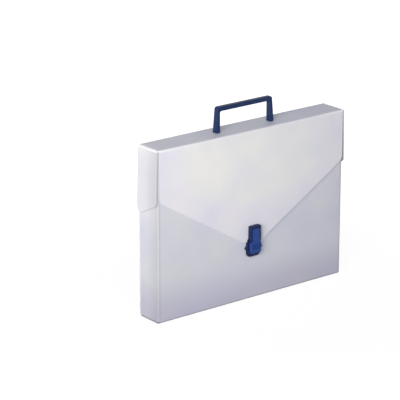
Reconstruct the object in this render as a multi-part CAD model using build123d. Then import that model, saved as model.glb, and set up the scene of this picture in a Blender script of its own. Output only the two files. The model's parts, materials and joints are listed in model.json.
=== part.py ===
from build123d import *
import math
import os

# A carry case folded from creased polypropylene sheet, with a moulded carrying handle and a snap clasp.
# Millimetres. X runs along the case, Y from the front to the back, and Z up from the surface it stands on.
# The origin is the middle of the case's underside. Each node is one panel of the sheet or one moulding.

# Case and sheet
case_width = 380.0
case_depth = 50.0
case_height = 285.0
sheet = 1.0
crease_inner_radius = 1.5
relief_clearance = 0.15

# Living hinges: a bead on the panel's folding edge, and the gap that it turns in
bead_radius = 0.8
hinge_gap = 0.3

# Lid, with the flap at its front and a wing at each end
flap_gap = 1.6
flap_side_inset = 2.0
flap_side_length = 84.0
flap_length = 185.5
flap_nose_width = 40.0
flap_corner_radius = 14.0
flap_nose_radius = 10.0
wing_gap = 0.8
wing_front_length = 88.0
wing_rear_length = 112.0
wing_flare_deg = 1.6
wing_corner_radius = 8.0
wing_rear_clearance = 0.5

# Cut-out in the front panel, behind the flap
cutout_side_margin = 50.0
cutout_floor_drop = 131.0
cutout_floor_radius = 245.0
cutout_corner_radius = 20.0
strip_corner_radius = 6.0

# Flanges that turn in from the side panels and are welded to the back panel
flange_width = 12.0

# Handle and its retainers
handle_span = 110.0
handle_height = 42.0
bar_height = 7.4
bar_depth = 9.0
leg_width = 5.4
leg_lean = 1.7
foot_width = 7.8
foot_depth = 11.0
handle_outer_radius = 4.5
handle_inner_radius = 3.0
handle_edge_radius = 1.4
stem_radius = 2.5
stem_hole_clearance = 0.15
stem_fit = 0.05
barb_radius = 3.1
barb_length = 1.6
retainer_radius = 7.0
retainer_thickness = 2.0
retainer_slit_width = 1.0
retainer_slit_reach = 4.8
retainer_slit_count = 4

# Clasp: a hasp on the flap carries the lever, and a keeper on the front panel carries the catch
hasp_width = 21.5
hasp_height = 26.5
hasp_inset = 0.4
hasp_thickness = 2.0
hasp_corner_radius = 3.0
hasp_foot_width = 26.0
hasp_foot_height = 5.0
hood_height = 4.8
hood_edge_chamfer = 0.8
moulding_corner_radius = 1.5
moulding_edge_radius = 0.5
pin_radius = 1.1
pin_drop = 7.5
pin_running_fit = 0.08
pin_seat_fit = 0.01
cheek_gap = 0.3
knuckle_radius = 2.4
knuckle_clearance = 0.8

keeper_width = 27.0
keeper_height = 25.5
keeper_clearance = 0.6
keeper_bottom_radius = 6.5
ear_grip_width = 33.4
ear_grip_drop = 12.0
ear_grip_height = 6.5
ear_grip_tip = 1.8
ear_grip_radius = 0.8
keeper_edge_chamfer = 0.5

lever_gap = 0.4
lever_thickness = 5.5
lever_neck_width = 14.0
lever_width = 19.2
lever_length = 38.9
lever_shoulder_clearance = 0.4
lever_shoulder_length = 1.5
lever_corner_radius = 4.0
lever_nose_radius = 1.6
lever_wall = 1.6
lever_face_wall = 1.9
lever_lip = 2.2
lever_web = 5.0

thumb_recess_depth = 0.7
thumb_recess_width = 15.0
thumb_recess_height = 9.5
thumb_recess_lift = 7.0
thumb_recess_radius = 2.0
thumb_rib_count = 3
thumb_rib_width = 1.6
thumb_rib_pitch = 4.4
thumb_rib_height = 0.6

catch_width = 9.0
catch_height = 8.0
catch_rise = 10.0
catch_clearance = 0.5
catch_slope_deg = 45.0

peg_radius = 1.5
peg_hole_clearance = 0.1
peg_fit = 0.03
peg_bottom_clearance = 0.2
peg_edge_distance = 3.6
hasp_peg_radius = 1.1
hasp_peg_spacing = 18.0
hasp_peg_length = 4.0
hasp_backing_thickness = 1.0
hasp_backing_width = 24.0
keeper_backing_thickness = 1.5
keeper_backing_width = 30.0
keeper_peg_spacing = 14.0
keeper_peg_length = 3.0
backing_corner_radius = 3.0

# Faces and axes that follow from the sizes above
crease_outer_radius = crease_inner_radius + sheet
half_width = case_width / 2
half_depth = case_depth / 2
lid_underside = case_height - sheet
hinge_z = case_height - bead_radius
panel_top = hinge_z - bead_radius - hinge_gap
back_hinge_y = half_depth - bead_radius
flap_inner_y = -half_depth - flap_gap
flap_outer_y = flap_inner_y - sheet
flap_hinge_y = flap_outer_y + bead_radius
flap_half_width = half_width - flap_side_inset
wing_hinge_x = half_width + wing_gap + sheet - bead_radius
lid_front_y = flap_hinge_y + bead_radius + hinge_gap
lid_half_width = wing_hinge_x - bead_radius - hinge_gap
nose_z = case_height - flap_length
seat_y = flap_outer_y - hasp_thickness
hasp_bottom_z = nose_z + hasp_inset
hasp_top_z = hasp_bottom_z + hasp_height
hood_y = seat_y - hood_height
pin_z = hasp_top_z - pin_drop
lever_under_y = seat_y - lever_gap
pin_y = lever_under_y - knuckle_radius
lever_outer_y = lever_under_y - lever_thickness
lever_bottom_z = pin_z - lever_length
keeper_top_z = nose_z - keeper_clearance
keeper_bottom_z = keeper_top_z - keeper_height
keeper_peg_z = keeper_bottom_z + keeper_height / 2


def outline(points):
    """Face with the given (x, y, corner radius) corners."""
    corners = [(x, y) for x, y, _ in points]
    radii = [radius for _, _, radius in points]
    return make_face(FilletPolyline(*corners, radius=radii, close=True))


def mirrored_outline(half):
    """Face symmetric across its own vertical axis, from the corners of its right half."""
    return outline(half + [(-x, y, radius) for x, y, radius in reversed(half)])


def front_plate(face, outer_y, thickness):
    """Plate drawn in (x, z), from its outer face at outer_y towards the back."""
    return extrude(Plane.XZ.offset(-outer_y) * face, amount=-thickness)


def side_plate(face, low_x, high_x):
    """Plate drawn in (y, z), between two planes across X."""
    return extrude(Plane.YZ.offset(low_x) * face, amount=high_x - low_x)


def block(low, high):
    """Box between two opposite corners."""
    size = [b - a for a, b in zip(low, high)]
    middle = [(a + b) / 2 for a, b in zip(low, high)]
    return Pos(*middle) * Box(*size)


def rod_x(radius, low_x, high_x, y, z):
    """Cylinder along X."""
    return Pos((low_x + high_x) / 2, y, z) * Rot(0, 90, 0) * Cylinder(radius, high_x - low_x)


def rod_y(radius, x, low_y, high_y, z):
    """Cylinder along Y."""
    return Pos(x, (low_y + high_y) / 2, z) * Rot(90, 0, 0) * Cylinder(radius, high_y - low_y)


def rod_z(radius, x, y, low_z, high_z):
    """Cylinder along Z."""
    return Pos(x, y, (low_z + high_z) / 2) * Cylinder(radius, high_z - low_z)


def creased_section(span):
    """Section of a panel with a set crease along both edges, drawn inwards from its outer face."""
    reach = 2 * crease_outer_radius
    outer_half = [(span / 2, reach, 0), (span / 2, 0, crease_outer_radius)]
    inner_half = [(span / 2 - sheet, reach, 0), (span / 2 - sheet, sheet, crease_inner_radius)]
    kept = Pos(0, crease_outer_radius / 2) * Rectangle(span, crease_outer_radius)
    return (mirrored_outline(outer_half) - mirrored_outline(inner_half)) & kept


# Body of the case
def make_bottom_panel():
    """Floor, with the creases that turn up into the front and the back. Its corners are relieved."""
    creased = extrude(
        Plane.YZ * creased_section(case_depth),
        amount=half_width - crease_outer_radius,
        both=True,
    )
    flat_x = half_width - sheet - relief_clearance
    flat_y = half_depth - crease_outer_radius
    return creased + block((-flat_x, -flat_y, 0), (flat_x, flat_y, sheet))


def make_front_panel():
    """Front, with the creases that turn into the sides, and the bow-shaped cut-out for papers."""
    height = panel_top - crease_outer_radius
    panel = Pos(0, -half_depth, crease_outer_radius) * extrude(creased_section(case_width), amount=height)
    cutout_x = half_width - cutout_side_margin
    floor_z = case_height - cutout_floor_drop
    cutout = mirrored_outline([
        (cutout_x + strip_corner_radius, panel_top + strip_corner_radius, 0),
        (cutout_x, panel_top, strip_corner_radius),
        (cutout_x, floor_z, 0),
    ])
    cutout &= Pos(0, floor_z + cutout_floor_radius) * Circle(cutout_floor_radius)
    cutout = fillet(cutout.vertices().sort_by(Axis.Y)[:2], cutout_corner_radius)
    panel -= front_plate(cutout, -half_depth - sheet, 3 * sheet)
    hole_radius = peg_radius + peg_hole_clearance
    for x in keeper_peg_places():
        panel -= rod_y(hole_radius, x, -half_depth - sheet, sheet - half_depth, keeper_peg_z)
    return panel


def make_back_panel():
    """Back, from the crease of the floor to the lid's hinge, as wide as the case."""
    return block(
        (-half_width, half_depth - sheet, crease_outer_radius),
        (half_width, half_depth, panel_top),
    )


def make_side_panel(side):
    """Side, from the front crease to a rear crease whose flange lies against the back panel."""
    front_y = crease_outer_radius - half_depth
    rear_y = half_depth - sheet
    flange_x = half_width - flange_width
    foot_z = crease_outer_radius + relief_clearance
    section = outline([
        (half_width, front_y, 0),
        (half_width, rear_y, crease_outer_radius),
        (flange_x, rear_y, 0),
        (flange_x, rear_y - sheet, 0),
        (half_width - sheet, rear_y - sheet, crease_inner_radius),
        (half_width - sheet, front_y, 0),
    ])
    panel = Pos(0, 0, foot_z) * extrude(section, amount=panel_top - foot_z)
    panel += block((half_width - sheet, front_y, 0), (half_width, rear_y - crease_outer_radius, foot_z))
    return panel if side > 0 else mirror(panel, about=Plane.YZ)


# Clasp, lower half
def keeper_peg_places():
    return [-keeper_peg_spacing / 2, keeper_peg_spacing / 2]


def make_keeper():
    """Moulded base with finger ears and the ramped catch that the lever closes over."""
    half = keeper_width / 2
    tip = ear_grip_width / 2
    tip_z = keeper_top_z - ear_grip_drop
    face = mirrored_outline([
        (half, keeper_top_z, moulding_corner_radius),
        (half, tip_z + ear_grip_height, 0),
        (tip, tip_z + ear_grip_tip, ear_grip_radius),
        (tip, tip_z, ear_grip_radius),
        (half, tip_z - ear_grip_tip, 0),
        (half, keeper_bottom_z, keeper_bottom_radius),
    ])
    base = front_plate(face, seat_y, -half_depth - seat_y)
    base = chamfer(base.faces().sort_by(Axis.Y)[0].edges(), keeper_edge_chamfer)
    ramp = catch_clearance - lever_thickness + lever_face_wall
    catch_low = keeper_bottom_z + catch_rise
    catch_tip_y = lever_under_y + ramp
    run = (seat_y - catch_tip_y) * math.tan(math.radians(catch_slope_deg))
    catch = outline([
        (seat_y + sheet, catch_low, 0),
        (seat_y, catch_low, 0),
        (catch_tip_y, catch_low + run, moulding_edge_radius),
        (catch_tip_y, catch_low + catch_height, moulding_edge_radius),
        (seat_y + sheet, catch_low + catch_height, 0),
    ])
    base += side_plate(catch, -catch_width / 2, catch_width / 2)
    for x in keeper_peg_places():
        socket_y = -half_depth - keeper_peg_length - peg_bottom_clearance
        base -= rod_y(peg_radius + peg_fit, x, socket_y, -half_depth, keeper_peg_z)
    return base


def make_keeper_backing():
    """Plate inside the front panel, with two pegs that pass through it into the keeper."""
    face = RectangleRounded(keeper_backing_width, keeper_height, backing_corner_radius)
    inner_y = sheet - half_depth
    plate = front_plate(Pos(0, keeper_peg_z) * face, inner_y, keeper_backing_thickness)
    for x in keeper_peg_places():
        plate += rod_y(peg_radius, x, -half_depth - keeper_peg_length, inner_y + sheet, keeper_peg_z)
    return plate


# Lid
def handle_leg_places():
    return [-handle_span / 2, handle_span / 2]


def make_top_panel():
    """Lid, with the bead of its back hinge and the two holes for the handle's stems."""
    panel = block(
        (-lid_half_width, lid_front_y, lid_underside),
        (lid_half_width, back_hinge_y, case_height),
    )
    panel += rod_x(bead_radius, -lid_half_width, lid_half_width, back_hinge_y, hinge_z)
    for x in handle_leg_places():
        panel -= rod_z(stem_radius + stem_hole_clearance, x, 0, lid_underside - sheet, case_height)
    return panel


def make_handle():
    """Bail with legs that taper upwards and lean in a little, and a barbed stem below each foot."""
    top = case_height + handle_height
    leg_top = handle_span / 2 - leg_lean
    front_view = mirrored_outline([
        (leg_top + leg_width / 2, top, handle_outer_radius),
        (handle_span / 2 + foot_width / 2, case_height, 0),
        (handle_span / 2 - foot_width / 2, case_height, 0),
        (leg_top - leg_width / 2, top - bar_height, handle_inner_radius),
    ])
    side_view = mirrored_outline([
        (bar_depth / 2, top, 0),
        (foot_depth / 2, case_height, 0),
    ])
    across = extrude(Plane.XZ * front_view, amount=foot_depth, both=True)
    along = extrude(Plane.YZ * side_view, amount=handle_span, both=True)
    bail = across & along
    bail = fillet([e for e in bail.edges() if e.center().Z > case_height], handle_edge_radius)
    stem_end = lid_underside - retainer_thickness
    barb = Cone(stem_radius - stem_fit, barb_radius, barb_length)
    for x in handle_leg_places():
        bail += rod_z(stem_radius, x, 0, stem_end, case_height)
        bail += Pos(x, 0, stem_end - barb_length / 2) * barb
    return bail


def make_handle_retainers():
    """Push-on washers under the lid, one on each stem, with slits that spring over the barb."""
    slit = Pos(retainer_slit_reach / 2, 0) * Rectangle(retainer_slit_reach, retainer_slit_width)
    face = Circle(retainer_radius) - Circle(stem_radius + stem_fit)
    for i in range(retainer_slit_count):
        face -= Rot(0, 0, i * 360 / retainer_slit_count) * slit
    washer = extrude(face, amount=-retainer_thickness)
    return Compound(children=[
        Pos(x, 0, lid_underside) * washer for x in handle_leg_places()
    ])


def make_wing(side):
    """End panel that hangs outside the case from the lid's edge, flared a little."""
    rear_y = half_depth - sheet - wing_rear_clearance
    face = outline([
        (lid_front_y, hinge_z, 0),
        (lid_front_y, case_height - wing_front_length, wing_corner_radius),
        (rear_y, case_height - wing_rear_length, wing_corner_radius),
        (rear_y, hinge_z, 0),
    ])
    outer_x = wing_hinge_x + bead_radius
    wing = side_plate(face, outer_x - sheet, outer_x)
    wing += rod_y(bead_radius, wing_hinge_x, lid_front_y, rear_y, hinge_z)
    wing = wing.rotate(Axis((wing_hinge_x, 0, hinge_z), (0, -1, 0)), wing_flare_deg)
    return wing if side > 0 else mirror(wing, about=Plane.YZ)


# Flap and clasp, upper half
def hasp_peg_places():
    """The four pegs, in the hasp's thick sides."""
    levels = (hasp_bottom_z + peg_edge_distance, hasp_top_z - peg_edge_distance)
    return [(x, z) for x in (-hasp_peg_spacing / 2, hasp_peg_spacing / 2) for z in levels]


def make_flap_panel():
    """Front flap that narrows to a nose behind the clasp, with the bead of its hinge."""
    face = mirrored_outline([
        (flap_half_width, hinge_z, 0),
        (flap_half_width, case_height - flap_side_length, flap_corner_radius),
        (flap_nose_width / 2, nose_z, flap_nose_radius),
    ])
    panel = front_plate(face, flap_outer_y, sheet)
    panel += rod_x(bead_radius, -flap_half_width, flap_half_width, flap_hinge_y, hinge_z)
    hole_radius = hasp_peg_radius + peg_hole_clearance
    for x, z in hasp_peg_places():
        panel -= rod_y(hole_radius, x, flap_outer_y - sheet, flap_inner_y + sheet, z)
    return panel


def make_hasp():
    """Plate with a wider foot, under a hood whose channel takes the lever's neck."""
    half = hasp_width / 2
    foot = hasp_foot_width / 2
    plate_face = mirrored_outline([
        (half, hasp_top_z, hasp_corner_radius),
        (half, hasp_bottom_z + hasp_foot_height, 0),
        (foot, hasp_bottom_z + hasp_foot_height / 2, 0),
        (foot, hasp_bottom_z, moulding_edge_radius),
    ])
    hood_face = mirrored_outline([
        (half, hasp_top_z, hasp_corner_radius),
        (half, hasp_bottom_z, moulding_corner_radius),
    ])
    hood = front_plate(hood_face, hood_y, flap_outer_y - hood_y)
    hood = chamfer(hood.faces().sort_by(Axis.Y)[0].edges(), hood_edge_chamfer)
    channel_x = lever_neck_width / 2 + cheek_gap
    channel_top = pin_z + knuckle_radius + knuckle_clearance
    hood -= block((-channel_x, hood_y - hasp_thickness, nose_z), (channel_x, seat_y, channel_top))
    hasp = front_plate(plate_face, seat_y, hasp_thickness) + hood
    hasp -= rod_x(pin_radius + pin_seat_fit, -half, half, pin_y, pin_z)
    for x, z in hasp_peg_places():
        socket_y = flap_outer_y - hasp_peg_length - peg_bottom_clearance
        hasp -= rod_y(hasp_peg_radius + peg_fit, x, socket_y, flap_outer_y, z)
    return hasp


def make_hasp_backing():
    """Thin plate behind the flap, with four pegs that pass through it into the hasp."""
    middle_z = (hasp_bottom_z + hasp_top_z) / 2
    face = RectangleRounded(hasp_backing_width, hasp_height, backing_corner_radius)
    plate = front_plate(Pos(0, middle_z) * face, flap_inner_y, hasp_backing_thickness)
    for x, z in hasp_peg_places():
        plate += rod_y(hasp_peg_radius, x, flap_outer_y - hasp_peg_length, flap_inner_y, z)
    return plate


def make_hinge_pin():
    """Pin of the lever, as long as the hasp is wide."""
    return rod_x(pin_radius, -hasp_width / 2, hasp_width / 2, pin_y, pin_z)


def make_latch_lever():
    """Snap lever: a knuckle on the pin, a cored neck and a hollow face with a thumb recess."""
    neck_half = lever_neck_width / 2
    half = lever_width / 2
    neck_z = hasp_bottom_z - lever_shoulder_clearance
    wide_z = neck_z - lever_shoulder_length
    front_view = mirrored_outline([
        (neck_half, pin_z + knuckle_radius, 0),
        (neck_half, neck_z, moulding_edge_radius),
        (half, wide_z, moulding_edge_radius),
        (half, lever_bottom_z, lever_corner_radius),
    ])
    side_view = outline([
        (lever_under_y, pin_z, 0),
        (pin_y - knuckle_radius, pin_z, 0),
        (lever_outer_y, lever_bottom_z, lever_nose_radius),
        (lever_under_y, lever_bottom_z, moulding_edge_radius),
    ])
    side_view += Pos(pin_y, pin_z) * Circle(knuckle_radius)
    lever = side_plate(side_view, -half, half) & front_plate(front_view, lever_outer_y, lever_thickness)
    core_y = lever_outer_y + lever_face_wall
    core_low = lever_bottom_z + lever_lip
    core_x = half - lever_wall
    neck_core_x = neck_half - lever_wall
    lever -= block((-core_x, core_y, core_low), (core_x, lever_under_y, wide_z - lever_wall))
    lever -= block((-neck_core_x, core_y, core_low), (neck_core_x, lever_under_y, pin_z - lever_web))
    lever -= rod_x(pin_radius + pin_running_fit, -half, half, pin_y, pin_z)
    return lever - thumb_recess()


def thumb_recess():
    """Shallow recess in the lever's face, less its upright ribs."""
    low_z = lever_bottom_z + thumb_recess_lift
    middle_z = low_z + thumb_recess_height / 2
    face = RectangleRounded(thumb_recess_width, thumb_recess_height, thumb_recess_radius)
    lean = math.atan2(pin_y - knuckle_radius - lever_outer_y, lever_length)
    surface_y = lever_outer_y + (middle_z - lever_bottom_z) * math.tan(lean)
    recess = extrude(Plane.XZ * face, amount=thumb_recess_depth, both=True)
    for i in range(thumb_rib_count):
        x = (i - (thumb_rib_count - 1) / 2) * thumb_rib_pitch
        recess -= block(
            (x - thumb_rib_width / 2, thumb_recess_depth - thumb_rib_height, -thumb_recess_height),
            (x + thumb_rib_width / 2, thumb_recess_depth, thumb_recess_height),
        )
    return Pos(0, surface_y, middle_z) * Rot(-math.degrees(lean), 0, 0) * recess


NODES = {
    "bottom_panel": make_bottom_panel(),
    "front_panel": make_front_panel(),
    "back_panel": make_back_panel(),
    "left_side_panel": make_side_panel(-1),
    "right_side_panel": make_side_panel(1),
    "keeper": make_keeper(),
    "keeper_backing": make_keeper_backing(),
    "top_panel": make_top_panel(),
    "handle": make_handle(),
    "handle_retainers": make_handle_retainers(),
    "left_wing": make_wing(-1),
    "right_wing": make_wing(1),
    "flap_panel": make_flap_panel(),
    "hasp": make_hasp(),
    "hasp_backing": make_hasp_backing(),
    "hinge_pin": make_hinge_pin(),
    "latch_lever": make_latch_lever(),
}

os.makedirs("parts", exist_ok=True)
for name, solid in NODES.items():
    export_step(solid, os.path.join("parts", name + ".step"))
print(f"lid hinge y {back_hinge_y:.2f} z {hinge_z:.2f}")
print(f"flap hinge y {flap_hinge_y:.2f} z {hinge_z:.2f}")
print(f"wing hinge x {wing_hinge_x:.2f} z {hinge_z:.2f}")
print(f"lever pin y {pin_y:.2f} z {pin_z:.2f}")
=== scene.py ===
import json
import math

import bmesh
import bpy
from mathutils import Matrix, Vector


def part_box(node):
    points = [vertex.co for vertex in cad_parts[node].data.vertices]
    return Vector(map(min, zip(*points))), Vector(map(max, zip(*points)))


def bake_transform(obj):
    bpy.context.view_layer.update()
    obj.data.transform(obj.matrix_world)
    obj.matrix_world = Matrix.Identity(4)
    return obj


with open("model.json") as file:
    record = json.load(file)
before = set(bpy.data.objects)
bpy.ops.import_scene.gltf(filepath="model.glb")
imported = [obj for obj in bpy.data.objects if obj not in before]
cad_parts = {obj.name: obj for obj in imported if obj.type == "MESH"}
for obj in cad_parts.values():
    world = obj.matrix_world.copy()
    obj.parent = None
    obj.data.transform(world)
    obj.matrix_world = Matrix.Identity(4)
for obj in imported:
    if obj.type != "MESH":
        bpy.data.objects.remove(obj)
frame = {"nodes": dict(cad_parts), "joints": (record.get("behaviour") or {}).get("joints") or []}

# A carry case of frosted polypropylene sheet with a moulded handle and a lever clasp.
# The frame gives every rigid piece. This file gives them their materials, adds the thin webs of the
# living hinges, and sets up the stage. Metres: X along the case, front at -Y, Z up from the floor.

bl_info = {
    "name": "Frosted Carry Case",
    "version": (1, 0, 0),
    "blender": (4, 5, 0),
    "location": "3D View > Sidebar > Carry Case",
    "description": "Materials, hinge webs and stage for a folded plastic carry case",
    "category": "Object",
}

MM = 0.001
QUARTER_TURN = math.pi / 2
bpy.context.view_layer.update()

# Panels by the axis that their sheet faces, and the mouldings
BODY_SHEETS = {
    "front_panel": "Y", "back_panel": "Y",
    "left_side_panel": "X", "right_side_panel": "X", "bottom_panel": "Z",
}
LID_SHEETS = {"top_panel": "Z", "flap_panel": "Y", "left_wing": "X", "right_wing": "X"}
CLASP_NODES = ("keeper", "hasp")
FITTING_NODES = ("handle_retainers", "keeper_backing", "hasp_backing", "hinge_pin")

# Faces of the closed case, measured from the middle of its foot
CASE_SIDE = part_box("bottom_panel")[1][0]
LID_REAR, LID_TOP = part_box("top_panel")[1][1:]
WING_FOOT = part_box("left_wing")[0][2]

# The front panel's bow-shaped cut-out, and how softly the painted light on the flap in front of it fades at
# its border
CUTOUT_HALF_WIDTH = 140 * MM
CUTOUT_FLOOR_Z = 154 * MM
CUTOUT_FLOOR_RADIUS = 245 * MM
CUTOUT_SOFTNESS = 22 * MM
CUTOUT_SIDE_SOFTNESS = 35 * MM

# The row of welds along each end's flange. The core is the part of a weld's radius at full depth.
WELD_X = 183 * MM
WELD_CORE = 0.7
WELD_DEPTH = 0.3 * MM
WELD_STRENGTH = 0.8

# The wings' webs end before the rear fold's corner.
WING_WEB_END = 1.5 * MM

# Surfaces. Nearly all of a noise's values lie within NOISE_RANGE. CUT_NORMALS are parts of a face's
# normal along the axis that its sheet faces: a cut edge is below the first, and the sheet above the last.
POLYPROPYLENE_IOR = 1.49
NOISE_RANGE = (0.3, 0.7)
CUT_NORMALS = (0.2, 0.6)
GRAIN_DEPTH = 0.05 * MM
SHEET_GRAIN = 0.12
SHEET_ROUGHNESS_SPREAD = 0.05
CLOUD_COOL = "#F5F7FB"
CLOUD_WARM = "#FFFFFC"
MOULD_GRAIN = 0.25
MOULD_ROUGHNESS_SPREAD = 0.06
FLOW_SIZE = 14 * MM
FLOW_COLOUR = "#8FA2D8"
FLOW_SHARE = 0.08
PARTING_HEIGHT = 0.12 * MM
PARTING_STRENGTH = 0.6

# Stage. A lamp has its name, the setting of its power, its spread in degrees, its place and its target.
LAMPS = (
    ("key_lamp", "key_power", 60, (-1.34, -0.82, 0.68), (-0.20, 0.0, 0.35)),
    ("flap_lamp", "flap_power", 40, (-0.5, -1.6, 0.7), (-0.05, 0.0, 0.27)),
    ("rear_lamp", "rear_power", 90, (0.3, 1.7, 0.3), (0.0, 0.0, 0.15)),
)
LAMP_SIZE = 1.0
LAMP_COLOUR = "#FFFDF6"
SKY_COLOUR = "#DDDDF1"
CAMERA_CLIP = (0.05, 100.0)

# A glow turns the floor white to the camera. Its share rises to 1 between two distances from the case.
FLOOR_GLOW = 1.32
FLOOR_GLOW_NEAR = 0.72
FLOOR_GLOW_REACH = (0.2, 1.6)


def linear(hex_colour):
    """Linear RGBA of an sRGB hex colour."""
    channels = [int(hex_colour[i:i + 2], 16) / 255 for i in (1, 3, 5)]
    return tuple(c / 12.92 if c <= 0.04045 else ((c + 0.055) / 1.055) ** 2.4 for c in channels) + (1.0,)


BLACK = linear("#000000")
WHITE = linear("#FFFFFF")


def add(tree, kind, values=None, **settings):
    """Adds a node to a tree. A node or socket among its values is linked, and any other value is set."""
    node = tree.nodes.new(kind)
    for name, value in settings.items():
        setattr(node, name, value)
    for name, value in (values or {}).items():
        if isinstance(value, bpy.types.Node):
            value = value.outputs[0]
        if isinstance(value, bpy.types.NodeSocket):
            tree.links.new(value, node.inputs[name])
        else:
            node.inputs[name].default_value = value
    return node


def new_material(name):
    """Empty material with its output node."""
    material = bpy.data.materials.new(name)
    material.use_nodes = True
    material.node_tree.nodes.clear()
    return material, material.node_tree, material.node_tree.nodes.new("ShaderNodeOutputMaterial")


def dress(names, material):
    """Puts a material on CAD nodes."""
    for name in names:
        for slot in frame["nodes"][name].material_slots:
            slot.material = material


# Settings
class SheetSettings(bpy.types.PropertyGroup):
    """Frosted sheet of the panels"""
    colour: bpy.props.FloatVectorProperty(
        name="Sheet", description="Colour of one layer of the frosted sheet", subtype="COLOR", size=4,
        min=0.0, max=1.0, default=linear("#DFE0E8"))
    # Painted light: the wing and flap colours are lighter copies of the sheet's colour, for the extra light
    # that a second layer behind them gives back.
    wing_painted_light_colour: bpy.props.FloatVectorProperty(
        name="Wing", description="Colour of a wing, with the end of the case behind it",
        subtype="COLOR", size=4, min=0.0, max=1.0, default=linear("#E6E5EB"))
    flap_painted_light_colour: bpy.props.FloatVectorProperty(
        name="Flap", description="Colour of the flap, with the front of the case behind it",
        subtype="COLOR", size=4, min=0.0, max=1.0, default=linear("#EDECF3"))
    # Painted light on the flap in front of the cut-out, where light from inside reaches it.
    cutout_painted_light_colour: bpy.props.FloatVectorProperty(
        name="Over the opening", description="Colour of the flap in front of the cut-out",
        subtype="COLOR", size=4, min=0.0, max=1.0, default=linear("#EFEFF1"))
    # Colour of the whitening from folding, also used for a painted highlight on the folds and a painted glow
    # on cut edges.
    whitening_and_highlight_colour: bpy.props.FloatVectorProperty(
        name="Crease", description="Colour where the sheet is folded or cut", subtype="COLOR", size=4,
        min=0.0, max=1.0, default=linear("#F8F8FB"))
    # Painted shade: the sheet is tinted darker at the foot, up to the foot height.
    foot_painted_shade_tint: bpy.props.FloatVectorProperty(
        name="Foot", description="Tint of the sheet at the foot, where less light comes from inside",
        subtype="COLOR", size=4, min=0.0, max=1.0, default=linear("#ECEAF3"))
    foot_height: bpy.props.FloatProperty(
        name="Foot height", description="Height that the tint at the foot reaches", unit="LENGTH",
        min=0.005, max=0.2, default=75 * MM)
    light_through: bpy.props.FloatProperty(
        name="Light through", description="Share of the light that passes into the sheet", subtype="FACTOR",
        min=0.0, max=1.0, default=0.25)
    shadow_loss: bpy.props.FloatProperty(
        name="Shadow loss", description="Share of the lamps' light that passes the sheet without a shadow",
        subtype="FACTOR", min=0.0, max=1.0, default=0.4)
    roughness: bpy.props.FloatProperty(
        name="Roughness", description="Roughness of the frosted face", subtype="FACTOR",
        min=0.0, max=1.0, default=0.46)
    crease_width: bpy.props.FloatProperty(
        name="Crease width", description="Width of the changed band beside a fold", unit="LENGTH",
        min=0.0005, max=0.02, default=4 * MM)
    # Painted shade along the front creases.
    front_crease_painted_shade: bpy.props.FloatProperty(
        name="Crease shade", description="Loss of brightness where a hot rule pressed the front creases",
        subtype="FACTOR", min=0.0, max=1.0, default=0.24)
    # Painted shadow along the creases that the case stands on.
    foot_painted_shadow: bpy.props.FloatProperty(
        name="Foot shade", description="Loss of brightness along the creases that the case stands on",
        subtype="FACTOR", min=0.0, max=1.0, default=0.55)
    # Painted shade on the ends and wings towards the front creases.
    end_painted_shade: bpy.props.FloatProperty(
        name="Bend shade", description="Loss of brightness on the ends and wings towards the front creases",
        subtype="FACTOR", min=0.0, max=1.0, default=0.14)
    end_painted_shade_reach: bpy.props.FloatProperty(
        name="Bend reach", description="Distance from the front creases that the ends' shade reaches",
        unit="LENGTH", min=0.001, max=0.05, default=34 * MM)
    # Whitening of the lid's long folds, partly a painted highlight, weaker in their middle and stronger
    # within the corner reach.
    middle_whitening_and_highlight: bpy.props.FloatProperty(
        name="Middle whitening",
        description="Share of the crease's colour along the middle of the lid's long folds",
        subtype="FACTOR", min=0.0, max=1.0, default=0.3)
    corner_reach: bpy.props.FloatProperty(
        name="Corner reach",
        description="Distance from the lid's ends in which its long folds are whitened more",
        unit="LENGTH", min=0.001, max=0.15, default=85 * MM)
    fold_drop: bpy.props.FloatProperty(
        name="Fold drop", description="How far the lid's face falls away through its folds", unit="LENGTH",
        min=0.0, max=0.005, default=1.2 * MM)
    # Painted light: the ends turn to the wings' paler colour below them.
    end_glow: bpy.props.FloatProperty(
        name="End glow", description="Distance below the wings in which the ends turn to the wings' colour",
        unit="LENGTH", min=0.001, max=0.1, default=38 * MM)
    # Whitening of the rear creases, partly a painted highlight.
    rear_whitening_and_highlight: bpy.props.FloatProperty(
        name="Rear whitening", description="Share of the crease's colour along the rear creases",
        subtype="FACTOR", min=0.0, max=1.0, default=0.7)
    # Painted glow along the cut edges.
    cut_edge_painted_glow: bpy.props.FloatProperty(
        name="Edge whitening", description="Share of the crease's colour along the cut edges",
        subtype="FACTOR", min=0.0, max=1.0, default=0.35)
    grain: bpy.props.FloatProperty(
        name="Grain", description="Spacing of the frosting's grain", unit="LENGTH",
        min=0.0001, max=0.01, default=0.9 * MM)
    cloud: bpy.props.FloatProperty(
        name="Cloud", description="Size of the faint cloudy patches in the sheet", unit="LENGTH",
        min=0.01, max=0.3, default=75 * MM)
    weld_pitch: bpy.props.FloatProperty(
        name="Weld pitch", description="Distance between the weld spots on the back", unit="LENGTH",
        min=0.002, max=0.1, default=12 * MM)
    weld_size: bpy.props.FloatProperty(
        name="Weld size", description="Radius of a weld spot", unit="LENGTH",
        min=0.0005, max=0.006, default=1.8 * MM)


class WebSettings(bpy.types.PropertyGroup):
    """Webs of the living hinges"""
    inner_radius: bpy.props.FloatProperty(
        name="Inner radius", description="Radius of the web's inner face about its hinge", unit="LENGTH",
        min=0.0005, max=0.002, default=0.83 * MM)
    outer_radius: bpy.props.FloatProperty(
        name="Outer radius", description="Radius of the web's outer face about its hinge", unit="LENGTH",
        min=0.0006, max=0.003, default=1.07 * MM)
    steps: bpy.props.IntProperty(
        name="Steps", description="Facets across the web", min=3, max=24, default=9)


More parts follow.
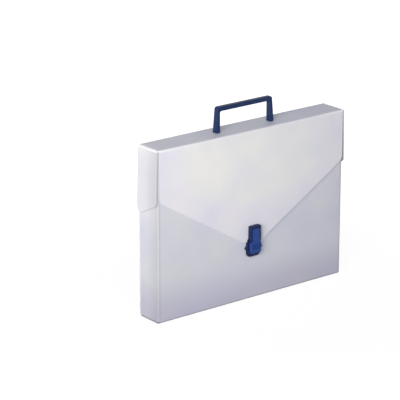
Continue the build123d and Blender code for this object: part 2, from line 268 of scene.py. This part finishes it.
class MouldingSettings(bpy.types.PropertyGroup):
    """Handle, clasp and fittings"""
    handle_colour: bpy.props.FloatVectorProperty(
        name="Handle", description="Colour of the moulded handle", subtype="COLOR", size=4,
        min=0.0, max=1.0, default=linear("#0A2046"))
    # Painted shade: the clasp's fixed halves get a darker copy of the lever's blue, for the shade on their
    # rims.
    clasp_painted_shade_colour: bpy.props.FloatVectorProperty(
        name="Clasp", description="Colour of the clasp's two fixed halves", subtype="COLOR", size=4,
        min=0.0, max=1.0, default=linear("#0A1640"))
    lever_colour: bpy.props.FloatVectorProperty(
        name="Lever", description="Colour of the clasp's lever", subtype="COLOR", size=4,
        min=0.0, max=1.0, default=linear("#214184"))
    fitting_colour: bpy.props.FloatVectorProperty(
        name="Fittings", description="Colour of the washers, backing plates and pin", subtype="COLOR", size=4,
        min=0.0, max=1.0, default=linear("#1F3A78"))
    roughness: bpy.props.FloatProperty(
        name="Roughness", description="Roughness of the spark-eroded mould's finish", subtype="FACTOR",
        min=0.0, max=1.0, default=0.36)
    sheen: bpy.props.FloatProperty(
        name="Sheen", description="Strength of the surface's reflection, weakened by the fine grain",
        subtype="FACTOR", min=0.0, max=1.0, default=0.1)
    grain: bpy.props.FloatProperty(
        name="Grain", description="Spacing of the mould finish's grain", unit="LENGTH",
        min=0.0001, max=0.005, default=0.5 * MM)
    # Painted shade in grooves and recesses, from ambient occlusion.
    recess: bpy.props.FloatProperty(
        name="Recess", description="Reach of the darkening in grooves and recesses", unit="LENGTH",
        min=0.0001, max=0.05, default=4 * MM)
    parting_width: bpy.props.FloatProperty(
        name="Parting line", description="Width of the raised line where the mould's halves met",
        unit="LENGTH", min=0.0001, max=0.002, default=0.35 * MM)


class StageSettings(bpy.types.PropertyGroup):
    """Floor, lamps and camera"""
    floor_colour: bpy.props.FloatVectorProperty(
        name="Floor", description="Colour of the floor", subtype="COLOR", size=4,
        min=0.0, max=1.0, default=linear("#86868C"))
    floor_size: bpy.props.FloatProperty(
        name="Floor size", description="Side of the square floor", unit="LENGTH",
        min=1.0, max=100.0, default=30.0)
    key_power: bpy.props.FloatProperty(
        name="Key lamp", description="Power of the large soft lamp at the front left", unit="POWER",
        min=0.0, max=1000.0, default=5.5)
    flap_power: bpy.props.FloatProperty(
        name="Flap lamp", description="Power of the narrow lamp in front that lights the flap", unit="POWER",
        min=0.0, max=1000.0, default=0.6)
    rear_power: bpy.props.FloatProperty(
        name="Rear lamp", description="Power of the lamp that lights the back", unit="POWER",
        min=0.0, max=1000.0, default=3.8)
    sky: bpy.props.FloatProperty(
        name="Surroundings", description="Strength of the even light from all round",
        min=0.0, max=5.0, default=0.33)
    lens: bpy.props.FloatProperty(
        name="Lens", description="Focal length", unit="CAMERA", min=20.0, max=500.0, default=191.8)
    distance: bpy.props.FloatProperty(
        name="Distance", description="From the camera to its target", unit="LENGTH",
        min=0.5, max=20.0, default=3.352)
    azimuth: bpy.props.FloatProperty(
        name="Azimuth", description="Camera's angle to the left of the case's front", subtype="ANGLE",
        default=math.radians(38.0))
    elevation: bpy.props.FloatProperty(
        name="Elevation", description="Camera's angle above the horizon", subtype="ANGLE",
        default=math.radians(18.4))
    target: bpy.props.FloatVectorProperty(
        name="Target", description="Point at the middle of the picture", subtype="TRANSLATION", unit="LENGTH",
        size=3, default=(-0.1074, -0.025, 0.1897))


# Materials
def frosted_sheet(node, face_axis, colour, settings):
    """Extruded polypropylene sheet, frosted by a sanded roller, die-cut and creased hot.

    Milky and satin: it scatters what passes through and blurs highlights. Painted light makes the flap
    and wings whiter, for the light that a second layer behind them gives back, and painted shade makes
    it duller at the foot. Cut edges carry a painted glow, and folds show whitening from folding with a
    painted highlight on it. The flap has painted light over the cut-out, where light from inside the case
    reaches it.
    """
    material, tree, output = new_material("frosted polypropylene sheet, " + node.replace("_", " "))
    coords = add(tree, "ShaderNodeTexCoord")
    place = coords.outputs["Object"]
    spot = add(tree, "ShaderNodeSeparateXYZ", {0: place})
    away = add(tree, "ShaderNodeVectorMath", {0: place}, operation="ABSOLUTE")
    away = add(tree, "ShaderNodeSeparateXYZ", {0: away})
    near = near_faces(tree, spot, away, settings.crease_width)
    whitened_and_lit = add(tree, "ShaderNodeMath", {
        0: fold_whitening_and_highlight(tree, node, away, near, settings),
        1: cut_edge_painted_glow(tree, node, face_axis, coords.outputs["Normal"], near, settings),
    }, operation="MAXIMUM")
    shaded = add(tree, "ShaderNodeMix", {
        "Factor": 1.0,
        "A": panel_colour(tree, node, face_axis, spot, away, colour, settings),
        "B": tint_and_painted_shade(tree, node, face_axis, place, spot, near, settings),
    }, data_type="RGBA", blend_type="MULTIPLY").outputs[2]
    whole = add(tree, "ShaderNodeMix", {
        "Factor": whitened_and_lit, "A": shaded, "B": settings.whitening_and_highlight_colour,
    }, data_type="RGBA").outputs[2]

    grain = add(tree, "ShaderNodeTexNoise", {"Vector": place, "Scale": 1 / settings.grain, "Detail": 1.0})
    low, high = NOISE_RANGE
    rough = add(tree, "ShaderNodeMapRange", {
        "Value": grain, "From Min": low, "From Max": high,
        "To Min": settings.roughness - SHEET_ROUGHNESS_SPREAD,
        "To Max": settings.roughness + SHEET_ROUGHNESS_SPREAD,
    })
    bump = add(tree, "ShaderNodeBump", {"Strength": SHEET_GRAIN, "Distance": GRAIN_DEPTH, "Height": grain})
    if node == "top_panel":
        bump = add(tree, "ShaderNodeBump", {
            "Strength": 1.0, "Distance": settings.fold_drop,
            "Height": fold_fall(tree, away, settings.crease_width), "Normal": bump,
        }, invert=True)
    if node == "back_panel":
        bump = add(tree, "ShaderNodeBump", {
            "Strength": WELD_STRENGTH, "Distance": WELD_DEPTH,
            "Height": weld_spots(tree, spot, away, settings), "Normal": bump,
        }, invert=True)
    face = add(tree, "ShaderNodeBsdfPrincipled", {
        "Base Color": whole, "Roughness": rough, "IOR": POLYPROPYLENE_IOR, "Normal": bump,
    })
    through = add(tree, "ShaderNodeBsdfTranslucent", {"Color": whole})
    milk = add(tree, "ShaderNodeMixShader", {0: settings.light_through, 1: face, 2: through})

    # Light that has come through one layer lights the next, so a layer casts only a weak shadow.
    paths = add(tree, "ShaderNodeLightPath")
    passing = add(tree, "ShaderNodeMath", {
        0: paths.outputs["Is Shadow Ray"], 1: settings.shadow_loss,
    }, operation="MULTIPLY")
    clear = add(tree, "ShaderNodeBsdfTransparent", {"Color": whole})
    sheet = add(tree, "ShaderNodeMixShader", {0: passing, 1: milk, 2: clear})
    tree.links.new(sheet.outputs[0], output.inputs["Surface"])
    return material


def near_faces(tree, spot, away, width):
    """0 to 1 through the last part before each face of the case. Folds lie where two of them meet."""
    near = {}
    for face, value, inside, edge in (
        ("side", away.outputs["X"], CASE_SIDE - width, CASE_SIDE),
        ("front or rear", away.outputs["Y"], LID_REAR - width, LID_REAR),
        ("front", spot.outputs["Y"], width - LID_REAR, -LID_REAR),
        ("rear", spot.outputs["Y"], LID_REAR - width, LID_REAR),
        ("top", away.outputs["Z"], LID_TOP - width, LID_TOP),
        ("foot", away.outputs["Z"], width, 0.0),
    ):
        near[face] = add(tree, "ShaderNodeMapRange", {
            "Value": value, "From Min": inside, "From Max": edge,
        }, interpolation_type="SMOOTHSTEP")
    return near


def fold_whitening_and_highlight(tree, node, away, near, settings):
    """Share of the whitening and highlight colour along the lid's folds, most at its corners, and along the
    rear creases: whitening from folding, with a painted highlight on it.
    """
    lid_rim = add(tree, "ShaderNodeMath", {0: near["side"], 1: near["front or rear"]}, operation="MAXIMUM")
    lid_fold = add(tree, "ShaderNodeMath", {0: lid_rim, 1: near["top"]}, operation="MULTIPLY")
    # Whitening and painted highlight, stronger towards the lid's corners.
    corner_whitening_and_highlight = add(tree, "ShaderNodeMapRange", {
        "Value": away.outputs["X"], "From Min": CASE_SIDE - settings.corner_reach, "From Max": CASE_SIDE,
        "To Min": settings.middle_whitening_and_highlight,
    }, interpolation_type="SMOOTHSTEP")
    whitened_and_lit = add(tree, "ShaderNodeMath", {0: lid_fold, 1: corner_whitening_and_highlight}, operation="MULTIPLY")
    if node in BODY_SHEETS:
        rear_fold = add(tree, "ShaderNodeMath", {0: near["side"], 1: near["rear"]}, operation="MULTIPLY")
        rear_fold = add(tree, "ShaderNodeMath", {
            0: rear_fold, 1: settings.rear_whitening_and_highlight,
        }, operation="MULTIPLY")
        whitened_and_lit = add(tree, "ShaderNodeMath", {0: whitened_and_lit, 1: rear_fold}, operation="MAXIMUM")
    return whitened_and_lit


def cut_edge_painted_glow(tree, node, face_axis, normal, near, settings):
    """Share of the whitening and highlight colour on cut edges, which don't face the way that their sheet
    does: a painted glow.
    """
    normal = add(tree, "ShaderNodeVectorMath", {0: normal}, operation="ABSOLUTE")
    normal = add(tree, "ShaderNodeSeparateXYZ", {0: normal})
    low, high = CUT_NORMALS
    cut_edge = add(tree, "ShaderNodeMapRange", {
        "Value": normal.outputs[face_axis], "From Min": low, "From Max": high,
        "To Min": settings.cut_edge_painted_glow, "To Max": 0.0,
    })
    if node in BODY_SHEETS:
        # The body's bends don't face that way either, and aren't cut.
        corner = add(tree, "ShaderNodeMath", {
            0: near["side"], 1: near["front or rear"],
        }, operation="MULTIPLY")
        crease = add(tree, "ShaderNodeMath", {0: corner, 1: near["foot"]}, operation="MAXIMUM")
        off_crease = add(tree, "ShaderNodeMath", {0: 1.0, 1: crease}, operation="SUBTRACT")
        cut_edge = add(tree, "ShaderNodeMath", {0: cut_edge, 1: off_crease}, operation="MULTIPLY")
    return cut_edge


def panel_colour(tree, node, face_axis, spot, away, colour, settings):
    """A panel's colour, with painted light that makes it paler where light from inside reaches it."""
    if node == "flap_panel":
        paler, share = settings.cutout_painted_light_colour, cutout_painted_light(tree, away)
    elif face_axis == "X" and node in BODY_SHEETS:
        # Painted light: light comes in round the lid, so the ends are painted paler towards it.
        paler, share = settings.wing_painted_light_colour, add(tree, "ShaderNodeMapRange", {
            "Value": spot.outputs["Z"], "From Min": WING_FOOT - settings.end_glow, "From Max": WING_FOOT,
        }, interpolation_type="SMOOTHSTEP")
    else:
        return colour
    return add(tree, "ShaderNodeMix", {"Factor": share, "A": colour, "B": paler}, data_type="RGBA").outputs[2]


def tint_and_painted_shade(tree, node, face_axis, place, spot, near, settings):
    """A panel's tint: faintly cloudy at random, with painted shade at the foot, along the front creases and
    on the ends and wings towards the front, and a painted shadow along the foot's creases.
    """
    clouds = add(tree, "ShaderNodeTexNoise", {"Vector": place, "Scale": 1 / settings.cloud, "Detail": 2.0})
    low, high = NOISE_RANGE
    share = add(tree, "ShaderNodeMapRange", {"Value": clouds, "From Min": low, "From Max": high})
    tint = add(tree, "ShaderNodeMix", {
        "Factor": share, "A": linear(CLOUD_COOL), "B": linear(CLOUD_WARM),
    }, data_type="RGBA").outputs[2]
    shades = []
    if face_axis == "X":
        # Painted shade: the front stands close behind the ends here, and keeps light from inside back.
        shades.append(add(tree, "ShaderNodeMapRange", {
            "Value": spot.outputs["Y"], "From Min": settings.end_painted_shade_reach - LID_REAR, "From Max": -LID_REAR,
            "To Max": settings.end_painted_shade,
        }, interpolation_type="SMOOTHSTEP"))
    if node in BODY_SHEETS:
        # Painted shade along the front creases, and a painted shadow along the creases that the case stands
        # on.
        front_fold = add(tree, "ShaderNodeMath", {0: near["side"], 1: near["front"]}, operation="MULTIPLY")
        for fold, loss in ((front_fold, settings.front_crease_painted_shade), (near["foot"], settings.foot_painted_shadow)):
            shades.append(add(tree, "ShaderNodeMath", {0: fold, 1: loss}, operation="MULTIPLY"))
        # The clouds make the upper border of the painted shade at the foot wavy.
        level = add(tree, "ShaderNodeMath", {
            0: clouds, 1: -settings.cloud, 2: spot.outputs["Z"],
        }, operation="MULTIPLY_ADD")
        foot = add(tree, "ShaderNodeMapRange", {
            "Value": level, "From Min": settings.foot_height - settings.cloud / 2,
            "From Max": -settings.cloud / 2,
        }, interpolation_type="SMOOTHSTEP")
        tint = add(tree, "ShaderNodeMix", {
            "Factor": foot, "A": tint, "B": settings.foot_painted_shade_tint,
        }, data_type="RGBA", blend_type="MULTIPLY").outputs[2]
    # Each painted shade darkens the tint towards black.
    for shade in shades:
        tint = add(tree, "ShaderNodeMix", {
            "Factor": shade, "A": tint, "B": BLACK,
        }, data_type="RGBA").outputs[2]
    return tint


def cutout_painted_light(tree, away):
    """1 on the flap in front of the cut-out, where light from inside is painted, and 0 around it, with a soft
    border.
    """
    rise = add(tree, "ShaderNodeMath", {
        0: away.outputs["Z"], 1: CUTOUT_FLOOR_Z + CUTOUT_FLOOR_RADIUS,
    }, operation="SUBTRACT")
    spot = add(tree, "ShaderNodeCombineXYZ", {0: away.outputs["X"], 1: rise})
    reach = add(tree, "ShaderNodeVectorMath", {0: spot}, operation="LENGTH").outputs["Value"]
    above_bow = add(tree, "ShaderNodeMapRange", {
        "Value": reach, "From Min": CUTOUT_FLOOR_RADIUS - CUTOUT_SOFTNESS, "From Max": CUTOUT_FLOOR_RADIUS,
        "To Min": 1.0, "To Max": 0.0,
    }, interpolation_type="SMOOTHSTEP")
    between_sides = add(tree, "ShaderNodeMapRange", {
        "Value": away.outputs["X"], "From Min": CUTOUT_HALF_WIDTH - CUTOUT_SIDE_SOFTNESS,
        "From Max": CUTOUT_HALF_WIDTH + CUTOUT_SIDE_SOFTNESS, "To Min": 1.0, "To Max": 0.0,
    }, interpolation_type="SMOOTHSTEP")
    return add(tree, "ShaderNodeMath", {0: above_bow, 1: between_sides}, operation="MULTIPLY")


def fold_fall(tree, away, width):
    """How far the lid's face has turned down towards its edges, since a fold is a soft bend."""
    turns = []
    for value, edge in ((away.outputs["X"], CASE_SIDE), (away.outputs["Y"], LID_REAR)):
        turn = add(tree, "ShaderNodeMapRange", {"Value": value, "From Min": edge - width, "From Max": edge})
        turns.append(add(tree, "ShaderNodeMath", {0: turn, 1: turn}, operation="MULTIPLY"))
    return add(tree, "ShaderNodeMath", {0: turns[0], 1: turns[1]}, operation="ADD")


def weld_spots(tree, spot, away, settings):
    """1 in the middle of each weld spot, in one row up each side of the back."""
    side = add(tree, "ShaderNodeMath", {0: away.outputs["X"], 1: WELD_X}, operation="SUBTRACT")
    level = add(tree, "ShaderNodeMath", {
        0: spot.outputs["Z"], 1: settings.weld_pitch / 2,
    }, operation="PINGPONG")
    offset = add(tree, "ShaderNodeCombineXYZ", {0: side, 1: level})
    reach = add(tree, "ShaderNodeVectorMath", {0: offset}, operation="LENGTH").outputs["Value"]
    return add(tree, "ShaderNodeMapRange", {
        "Value": reach, "From Min": settings.weld_size * WELD_CORE, "From Max": settings.weld_size,
        "To Min": 1.0, "To Max": 0.0,
    }, interpolation_type="SMOOTHSTEP")


def moulded_polypropylene(name, colour, settings):
    """Polypropylene, injection-moulded in a spark-eroded mould.

    A satin skin with a fine even grain: highlights are soft and a little broken, and the colour is
    slightly uneven where the melt flowed. Grooves and recesses are darkened by painted shade. The line
    where the mould's halves met stands up a little.
    """
    material, tree, output = new_material("moulded polypropylene " + name)
    place = add(tree, "ShaderNodeTexCoord").outputs["Object"]
    grain = add(tree, "ShaderNodeTexNoise", {"Vector": place, "Scale": 1 / settings.grain, "Detail": 2.0})
    flow = add(tree, "ShaderNodeTexNoise", {"Vector": place, "Scale": 1 / FLOW_SIZE, "Detail": 3.0})
    pale = tuple(c + FLOW_SHARE * (p - c) for c, p in zip(colour, linear(FLOW_COLOUR)))
    tint = add(tree, "ShaderNodeMix", {"Factor": flow, "A": colour, "B": pale}, data_type="RGBA").outputs[2]
    low, high = NOISE_RANGE
    rough = add(tree, "ShaderNodeMapRange", {
        "Value": flow, "From Min": low, "From Max": high,
        "To Min": settings.roughness - MOULD_ROUGHNESS_SPREAD,
        "To Max": settings.roughness + MOULD_ROUGHNESS_SPREAD,
    })
    # Painted shade: ambient occlusion darkens the piece's own grooves and recesses.
    recess = add(tree, "ShaderNodeAmbientOcclusion", {
        "Color": tint, "Distance": settings.recess,
    }, samples=8, only_local=True)
    across = add(tree, "ShaderNodeSeparateXYZ", {0: place})
    parting = add(tree, "ShaderNodeMath", {0: across.outputs["Y"]}, operation="ABSOLUTE")
    parting = add(tree, "ShaderNodeMapRange", {
        "Value": parting, "From Min": 0.0, "From Max": settings.parting_width / 2,
        "To Min": 1.0, "To Max": 0.0,
    })
    bump = add(tree, "ShaderNodeBump", {"Strength": MOULD_GRAIN, "Distance": GRAIN_DEPTH, "Height": grain})
    bump = add(tree, "ShaderNodeBump", {
        "Strength": PARTING_STRENGTH, "Distance": PARTING_HEIGHT, "Height": parting, "Normal": bump,
    })
    skin = add(tree, "ShaderNodeBsdfPrincipled", {
        "Base Color": recess, "Roughness": rough, "IOR": POLYPROPYLENE_IOR,
        "Specular IOR Level": settings.sheen, "Normal": bump,
    })
    tree.links.new(skin.outputs[0], output.inputs["Surface"])
    return material


def seen_directly(tree):
    """1 for rays from the camera, also after a reflection or through a piece, and 0 for lighting."""
    paths = add(tree, "ShaderNodeLightPath")
    seen = add(tree, "ShaderNodeMath", {
        0: paths.outputs["Is Camera Ray"], 1: paths.outputs["Is Glossy Ray"],
    }, operation="MAXIMUM")
    return add(tree, "ShaderNodeMath", {
        0: seen, 1: paths.outputs["Is Transmission Ray"],
    }, operation="MAXIMUM")


# Pieces
def about_hinge(centre, along, radius, angle):
    """Point at a radius and an angle about a hinge along X or Y."""
    across = Vector((0, 1, 0)) if along == "X" else Vector((1, 0, 0))
    return Vector(centre) + across * (radius * math.cos(angle)) + Vector((0, 0, radius * math.sin(angle)))


def make_web(name, centre, along, reach, start_angle, sweep, settings):
    """Curved strip about a hinge, from start_angle on, between two places along it."""
    angles = [start_angle + sweep * i / settings.steps for i in range(settings.steps + 1)]
    outline = [(settings.inner_radius, a) for a in angles]
    outline += [(settings.outer_radius, a) for a in reversed(angles)]
    mesh = bmesh.new()
    rings = []
    for end in reach:
        ring = []
        for radius, angle in outline:
            point = about_hinge(centre, along, radius, angle)
            point["XY".index(along)] = end
            ring.append(mesh.verts.new(point))
        rings.append(ring)
    first, last = rings
    count = len(outline)
    for i in range(count):
        after = (i + 1) % count
        mesh.faces.new((first[i], first[after], last[after], last[i]))
    mesh.faces.new(first[::-1])
    mesh.faces.new(last)
    bmesh.ops.recalc_face_normals(mesh, faces=mesh.faces)
    data = bpy.data.meshes.new(name)
    mesh.to_mesh(data)
    mesh.free()
    web = bpy.data.objects.new(name, data)
    bpy.context.scene.collection.objects.link(web)
    return web


class CARRYCASE_OT_finish_sheet(bpy.types.Operator):
    """Give every panel the frosted sheet"""
    bl_idname = "carry_case.finish_sheet"
    bl_label = "Frosted Sheet"

    def execute(self, context):
        settings = context.scene.carry_case_sheet
        # Painted light: the flap and wings get lighter copies of the sheet's colour.
        colours = {
            "flap_panel": settings.flap_painted_light_colour,
            "left_wing": settings.wing_painted_light_colour, "right_wing": settings.wing_painted_light_colour,
        }
        for node, axis in (BODY_SHEETS | LID_SHEETS).items():
            dress((node,), frosted_sheet(node, axis, colours.get(node, settings.colour), settings))
        return {"FINISHED"}


class CARRYCASE_OT_make_webs(bpy.types.Operator):
    """Add the thin webs that join the lid to the back, the flap and the wings"""
    bl_idname = "carry_case.make_webs"
    bl_label = "Hinge Webs"

    def execute(self, context):
        settings = context.scene.carry_case_webs
        sheet = frame["nodes"]["top_panel"].material_slots[0].material
        hinges = {joint["name"]: joint for joint in frame["joints"]}
        low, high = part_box("top_panel")
        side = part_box("flap_panel")[1][0]
        wing_reach = (low[1], high[1] - WING_WEB_END)
        # The rear web ends where it would stand proud of the back, at this angle below its hinge's level.
        proud = math.acos((high[1] - hinges["lid_hinge"]["pos_m"][1]) / settings.outer_radius)
        webs = (
            ("rear_web", "lid_hinge", "X", (low[0], high[0]), -QUARTER_TURN, QUARTER_TURN - proud),
            ("flap_web", "flap_hinge", "X", (-side, side), 0.0, QUARTER_TURN),
            ("left_wing_web", "left_wing_hinge", "Y", wing_reach, 0.0, QUARTER_TURN),
            ("right_wing_web", "right_wing_hinge", "Y", wing_reach, QUARTER_TURN, QUARTER_TURN),
        )
        middle = (settings.inner_radius + settings.outer_radius) / 2
        for name, hinge, along, reach, angle, sweep in webs:
            joint = hinges[hinge]
            web = make_web(name, joint["pos_m"], along, reach, angle, sweep, settings)
            web.data.materials.append(sheet)
            ends = [tuple(about_hinge(joint["pos_m"], along, middle, a)) for a in (angle, angle + sweep)]
            if name == "right_wing_web":
                # Its angles run from the wing to the lid.
                ends.reverse()
            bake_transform(web)
        return {"FINISHED"}


class CARRYCASE_OT_finish_handle(bpy.types.Operator):
    """Give the handle its moulded finish"""
    bl_idname = "carry_case.finish_handle"
    bl_label = "Handle"

    def execute(self, context):
        settings = context.scene.carry_case_mouldings
        dress(("handle",), moulded_polypropylene("navy", settings.handle_colour, settings))
        return {"FINISHED"}


class CARRYCASE_OT_finish_clasp(bpy.types.Operator):
    """Give the clasp its moulded finish"""
    bl_idname = "carry_case.finish_clasp"
    bl_label = "Clasp"

    def execute(self, context):
        settings = context.scene.carry_case_mouldings
        # Painted shade: the fixed halves are a darker copy of the lever's blue.
        dress(CLASP_NODES, moulded_polypropylene("dark blue", settings.clasp_painted_shade_colour, settings))
        dress(("latch_lever",), moulded_polypropylene("blue", settings.lever_colour, settings))
        return {"FINISHED"}


class CARRYCASE_OT_finish_fittings(bpy.types.Operator):
    """Give the washers, backing plates and pin their moulded finish"""
    bl_idname = "carry_case.finish_fittings"
    bl_label = "Fittings"

    def execute(self, context):
        settings = context.scene.carry_case_mouldings
        dress(FITTING_NODES, moulded_polypropylene("fittings", settings.fitting_colour, settings))
        return {"FINISHED"}


class CARRYCASE_OT_build_stage(bpy.types.Operator):
    """Add the floor, the lamps, the surroundings and the camera"""
    bl_idname = "carry_case.build_stage"
    bl_label = "Stage"

    def execute(self, context):
        scene = context.scene
        settings = scene.carry_case_stage
        self.make_floor(scene, settings)
        self.make_surroundings(scene, settings)
        for name, power, spread, place, target in LAMPS:
            self.make_lamp(scene, name, getattr(settings, power), spread, place, target)
        self.make_camera(scene, settings)
        scene.view_settings.view_transform = "Standard"
        return {"FINISHED"}

    def make_floor(self, scene, settings):
        """Matt painted floor: no highlight, only the case's soft shadow, which fades into white"""
        half = settings.floor_size / 2
        corners = [(-half, -half, 0), (half, -half, 0), (half, half, 0), (-half, half, 0)]
        data = bpy.data.meshes.new("floor")
        data.from_pydata(corners, [], [(0, 1, 2, 3)])
        floor = bpy.data.objects.new("floor", data)
        scene.collection.objects.link(floor)
        material, tree, output = new_material("painted studio floor")
        paint = add(tree, "ShaderNodeBsdfDiffuse", {"Color": settings.floor_colour})
        glow = add(tree, "ShaderNodeEmission", {"Color": WHITE, "Strength": FLOOR_GLOW})
        place = add(tree, "ShaderNodeTexCoord").outputs["Object"]
        away = add(tree, "ShaderNodeVectorMath", {0: place}, operation="LENGTH").outputs["Value"]
        near, far = FLOOR_GLOW_REACH
        share = add(tree, "ShaderNodeMapRange", {
            "Value": away, "From Min": near, "From Max": far, "To Min": FLOOR_GLOW_NEAR, "To Max": 1.0,
        }, interpolation_type="SMOOTHSTEP")
        share = add(tree, "ShaderNodeMath", {0: seen_directly(tree), 1: share}, operation="MULTIPLY")
        mix = add(tree, "ShaderNodeMixShader", {0: share, 1: paint, 2: glow})
        tree.links.new(mix.outputs[0], output.inputs["Surface"])
        data.materials.append(material)

    def make_surroundings(self, scene, settings):
        """Even light from all round, in front of a white background"""
        world = bpy.data.worlds.new("studio")
        world.use_nodes = True
        tree = world.node_tree
        tree.nodes.clear()
        output = tree.nodes.new("ShaderNodeOutputWorld")
        even = add(tree, "ShaderNodeBackground", {"Color": linear(SKY_COLOUR), "Strength": settings.sky})
        white = add(tree, "ShaderNodeBackground", {"Color": WHITE, "Strength": 1.0})
        mix = add(tree, "ShaderNodeMixShader", {0: seen_directly(tree), 1: even, 2: white})
        tree.links.new(mix.outputs[0], output.inputs["Surface"])
        scene.world = world

    def make_lamp(self, scene, name, power, spread, place, target):
        """Square soft lamp at a place, turned to its target"""
        lamp = bpy.data.lights.new(name, "AREA")
        lamp.energy = power
        lamp.size = LAMP_SIZE
        lamp.spread = math.radians(spread)
        lamp.color = linear(LAMP_COLOUR)[:3]
        holder = bpy.data.objects.new(name, lamp)
        holder.location = place
        aim = Vector(target) - Vector(place)
        holder.rotation_euler = aim.to_track_quat("-Z", "Y").to_euler()
        scene.collection.objects.link(holder)

    def make_camera(self, scene, settings):
        """Camera at the photograph's angle"""
        camera = bpy.data.cameras.new("camera")
        camera.lens = settings.lens
        camera.clip_start, camera.clip_end = CAMERA_CLIP
        holder = bpy.data.objects.new("camera", camera)
        level = math.cos(settings.elevation)
        back = Vector((
            -math.sin(settings.azimuth) * level,
            -math.cos(settings.azimuth) * level,
            math.sin(settings.elevation),
        ))
        holder.location = Vector(settings.target) + back * settings.distance
        holder.rotation_euler = (-back).to_track_quat("-Z", "Y").to_euler()
        scene.collection.objects.link(holder)
        scene.camera = holder


class CARRYCASE_PT_panel(bpy.types.Panel):
    """Lists the pieces and the stage"""
    bl_idname = "CARRYCASE_PT_panel"
    bl_label = "Carry Case"
    bl_space_type = "VIEW_3D"
    bl_region_type = "UI"
    bl_category = "Carry Case"

    def draw(self, context):
        for operator in OPERATORS:
            self.layout.operator(operator.bl_idname)


SETTINGS = {
    "carry_case_sheet": SheetSettings,
    "carry_case_webs": WebSettings,
    "carry_case_mouldings": MouldingSettings,
    "carry_case_stage": StageSettings,
}
OPERATORS = (
    CARRYCASE_OT_build_stage,
    CARRYCASE_OT_finish_sheet,
    CARRYCASE_OT_make_webs,
    CARRYCASE_OT_finish_handle,
    CARRYCASE_OT_finish_clasp,
    CARRYCASE_OT_finish_fittings,
)


def register():
    for group in SETTINGS.values():
        bpy.utils.register_class(group)
    for operator in OPERATORS:
        bpy.utils.register_class(operator)
    bpy.utils.register_class(CARRYCASE_PT_panel)
    for name, group in SETTINGS.items():
        setattr(bpy.types.Scene, name, bpy.props.PointerProperty(type=group))


def unregister():
    for name in SETTINGS:
        delattr(bpy.types.Scene, name)
    bpy.utils.unregister_class(CARRYCASE_PT_panel)
    for operator in reversed(OPERATORS):
        bpy.utils.unregister_class(operator)
    for group in reversed(SETTINGS.values()):
        bpy.utils.unregister_class(group)


def main():
    register()
    bpy.ops.carry_case.build_stage()
    bpy.ops.carry_case.finish_sheet()
    bpy.ops.carry_case.make_webs()
    bpy.ops.carry_case.finish_handle()
    bpy.ops.carry_case.finish_clasp()
    bpy.ops.carry_case.finish_fittings()


if __name__ == "__main__":
    main()
